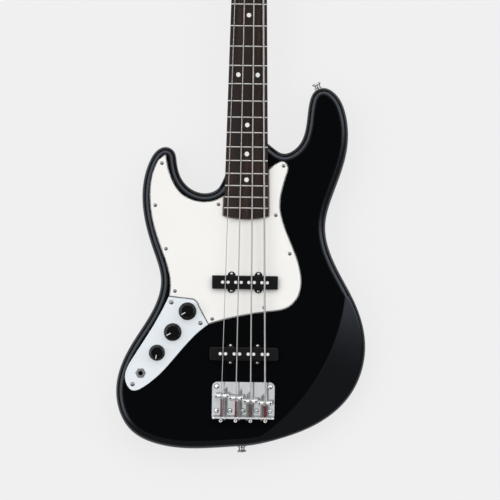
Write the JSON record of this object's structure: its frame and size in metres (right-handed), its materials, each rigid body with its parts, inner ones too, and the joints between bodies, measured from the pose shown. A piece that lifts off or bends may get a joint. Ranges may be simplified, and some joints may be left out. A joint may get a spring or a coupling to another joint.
{
  "type": "electric bass guitar",
  "caption": "Left-handed electric bass guitar with an offset contoured body, bolt-on neck, twin pickups, adjustable bridge and geared tuners.",
  "frame": {"origin": "under the middle of the bass's length on the string centre line, at the level of the neck-plate screw heads that it lies on", "axes": "+Z out of the playing face, +Y towards the headstock, +X towards the bass-string side"},
  "size_m": [0.3505, 1.1672, 0.0685],
  "materials": {
    "gloss_black_body": "alder under gloss black polyester",
    "maple_neck": "satin-lacquered hard maple",
    "rosewood_board": "oiled open-pored rosewood",
    "nickel_silver": "polished nickel-silver fret wire",
    "pearloid_dots": "polished pearloid",
    "bone_nut": "polished bone",
    "white_pickguard": "three-ply white sheet with bevelled edge",
    "chrome_hardware": "bright chrome plate",
    "steel": "bright turned steel",
    "black_knobs": "moulded black plastic with a white line",
    "black_pickup_covers": "moulded black plastic",
    "copper_coils": "enamelled copper wire under black tape",
    "grey_foam": "soft foam",
    "nickel_strings": "nickel-wound steel",
    "brass_ball_ends": "turned brass"
  },
  "bodies": {
    "root": {"body": "gloss_black_body", "bridge_pickup_coil": "copper_coils", "bridge_pickup_cover": "black_pickup_covers", "bridge_pickup_poles": "steel", "bridge_pickup_screws": "chrome_hardware", "bridge_plate": "chrome_hardware", "bridge_screws": "chrome_hardware", "control_plate": "chrome_hardware", "control_plate_screws": "chrome_hardware", "fretboard": "rosewood_board", "frets": "nickel_silver", "intonation_springs": "steel", "jack_nut": "chrome_hardware", "neck": "maple_neck", "neck_pickup_coil": "copper_coils", "neck_pickup_cover": "black_pickup_covers", "neck_pickup_poles": "steel", "neck_pickup_screws": "chrome_hardware", "neck_plate": "chrome_hardware", "neck_screws": "chrome_hardware", "nut": "bone_nut", "output_jack": "chrome_hardware", "pickguard": "white_pickguard", "pickguard_screws": "chrome_hardware", "pickup_foams": "grey_foam", "position_dots": "pearloid_dots", "potentiometer_nuts": "chrome_hardware", "potentiometers": "steel", "strap_button_screws": "chrome_hardware", "strap_buttons": "chrome_hardware", "string_a": "nickel_strings", "string_ball_ends": "brass_ball_ends", "string_d": "nickel_strings", "string_e": "nickel_strings", "string_g": "nickel_strings", "string_tree": "chrome_hardware", "truss_rod": "steel", "tuner_ferrules": "chrome_hardware", "tuner_plates": "chrome_hardware", "tuner_screws": "chrome_hardware"},
    "neck_volume_control": {"neck_volume_knob": "black_knobs"},
    "bridge_volume_control": {"bridge_volume_knob": "black_knobs"},
    "tone_control": {"tone_knob": "black_knobs"},
    "key_e": {"tuner_key_e": "chrome_hardware"},
    "post_e": {"tuner_post_e": "chrome_hardware"},
    "adjuster_e": {"intonation_screw_e": "steel"},
    "saddle_slide_e": {"saddle_e": "chrome_hardware"},
    "key_a": {"tuner_key_a": "chrome_hardware"},
    "post_a": {"tuner_post_a": "chrome_hardware"},
    "adjuster_a": {"intonation_screw_a": "steel"},
    "saddle_slide_a": {"saddle_a": "chrome_hardware"},
    "key_d": {"tuner_key_d": "chrome_hardware"},
    "post_d": {"tuner_post_d": "chrome_hardware"},
    "adjuster_d": {"intonation_screw_d": "steel"},
    "saddle_slide_d": {"saddle_d": "chrome_hardware"},
    "key_g": {"tuner_key_g": "chrome_hardware"},
    "post_g": {"tuner_post_g": "chrome_hardware"},
    "adjuster_g": {"intonation_screw_g": "steel"},
    "saddle_slide_g": {"saddle_g": "chrome_hardware"}
  },
  "joints": [
    {"name": "neck_volume_turn", "type": "hinge", "parent": "root", "child": "neck_volume_control", "pos_m": [-0.0804, -0.38385, 0.055], "axis": [0, 0, 1], "range_deg": [-150, 150]},
    {"name": "bridge_volume_turn", "type": "hinge", "parent": "root", "child": "bridge_volume_control", "pos_m": [-0.1009, -0.41355, 0.055], "axis": [0, 0, 1], "range_deg": [-150, 150]},
    {"name": "tone_turn", "type": "hinge", "parent": "root", "child": "tone_control", "pos_m": [-0.1227, -0.44295, 0.055], "axis": [0, 0, 1], "range_deg": [-150, 150]},
    {"name": "key_e_turn", "type": "hinge", "parent": "root", "child": "key_e", "pos_m": [0.01947, 0.40367, 0.0225], "axis": [1, 0, 0], "continuous": true},
    {"name": "post_e_turn", "type": "hinge", "parent": "root", "child": "post_e", "pos_m": [0.01947, 0.41767, 0.0225], "axis": [0, 0, 1], "continuous": true},
    {"name": "adjuster_e_turn", "type": "hinge", "parent": "root", "child": "adjuster_e", "pos_m": [0.026, -0.53455, 0.05779], "axis": [0, -1, 0], "range_deg": [-360, 4680]},
    {"name": "saddle_e_travel", "type": "slide", "parent": "root", "child": "saddle_slide_e", "axis": [0, 1, 0], "range_m": [0, 0.006]},
    {"name": "key_a_turn", "type": "hinge", "parent": "root", "child": "key_a", "pos_m": [0.0102, 0.44859, 0.0225], "axis": [1, 0, 0], "continuous": true},
    {"name": "post_a_turn", "type": "hinge", "parent": "root", "child": "post_a", "pos_m": [0.0102, 0.46259, 0.0225], "axis": [0, 0, 1], "continuous": true},
    {"name": "adjuster_a_turn", "type": "hinge", "parent": "root", "child": "adjuster_a", "pos_m": [0.0056, -0.53455, 0.05928], "axis": [0, -1, 0], "range_deg": [-360, 4680]},
    {"name": "saddle_a_travel", "type": "slide", "parent": "root", "child": "saddle_slide_a", "axis": [0, 1, 0], "range_m": [0, 0.006]},
    {"name": "key_d_turn", "type": "hinge", "parent": "root", "child": "key_d", "pos_m": [0.00209, 0.49351, 0.0225], "axis": [1, 0, 0], "continuous": true},
    {"name": "post_d_turn", "type": "hinge", "parent": "root", "child": "post_d", "pos_m": [0.00209, 0.50751, 0.0225], "axis": [0, 0, 1], "continuous": true},
    {"name": "adjuster_d_turn", "type": "hinge", "parent": "root", "child": "adjuster_d", "pos_m": [-0.0056, -0.53455, 0.05926], "axis": [0, -1, 0], "range_deg": [-360, 4680]},
    {"name": "saddle_d_travel", "type": "slide", "parent": "root", "child": "saddle_slide_d", "axis": [0, 1, 0], "range_m": [0, 0.006]},
    {"name": "key_g_turn", "type": "hinge", "parent": "root", "child": "key_g", "pos_m": [-0.00486, 0.53844, 0.0225], "axis": [1, 0, 0], "continuous": true},
    {"name": "post_g_turn", "type": "hinge", "parent": "root", "child": "post_g", "pos_m": [-0.00486, 0.55244, 0.0225], "axis": [0, 0, 1], "continuous": true},
    {"name": "adjuster_g_turn", "type": "hinge", "parent": "root", "child": "adjuster_g", "pos_m": [-0.026, -0.53455, 0.05776], "axis": [0, -1, 0], "range_deg": [-360, 4680]},
    {"name": "saddle_g_travel", "type": "slide", "parent": "root", "child": "saddle_slide_g", "axis": [0, 1, 0], "range_m": [0, 0.006]}
  ],
  "couplings": [
    {"joint": "post_e_turn", "follows": "key_e_turn", "ratio": -0.05},
    {"joint": "adjuster_e_turn", "follows": "saddle_e_travel", "rad_per_m": 12566},
    {"joint": "post_a_turn", "follows": "key_a_turn", "ratio": -0.05},
    {"joint": "adjuster_a_turn", "follows": "saddle_a_travel", "rad_per_m": 12566},
    {"joint": "post_d_turn", "follows": "key_d_turn", "ratio": -0.05},
    {"joint": "adjuster_d_turn", "follows": "saddle_d_travel", "rad_per_m": 12566},
    {"joint": "post_g_turn", "follows": "key_g_turn", "ratio": -0.05},
    {"joint": "adjuster_g_turn", "follows": "saddle_g_travel", "rad_per_m": 12566}
  ]
}
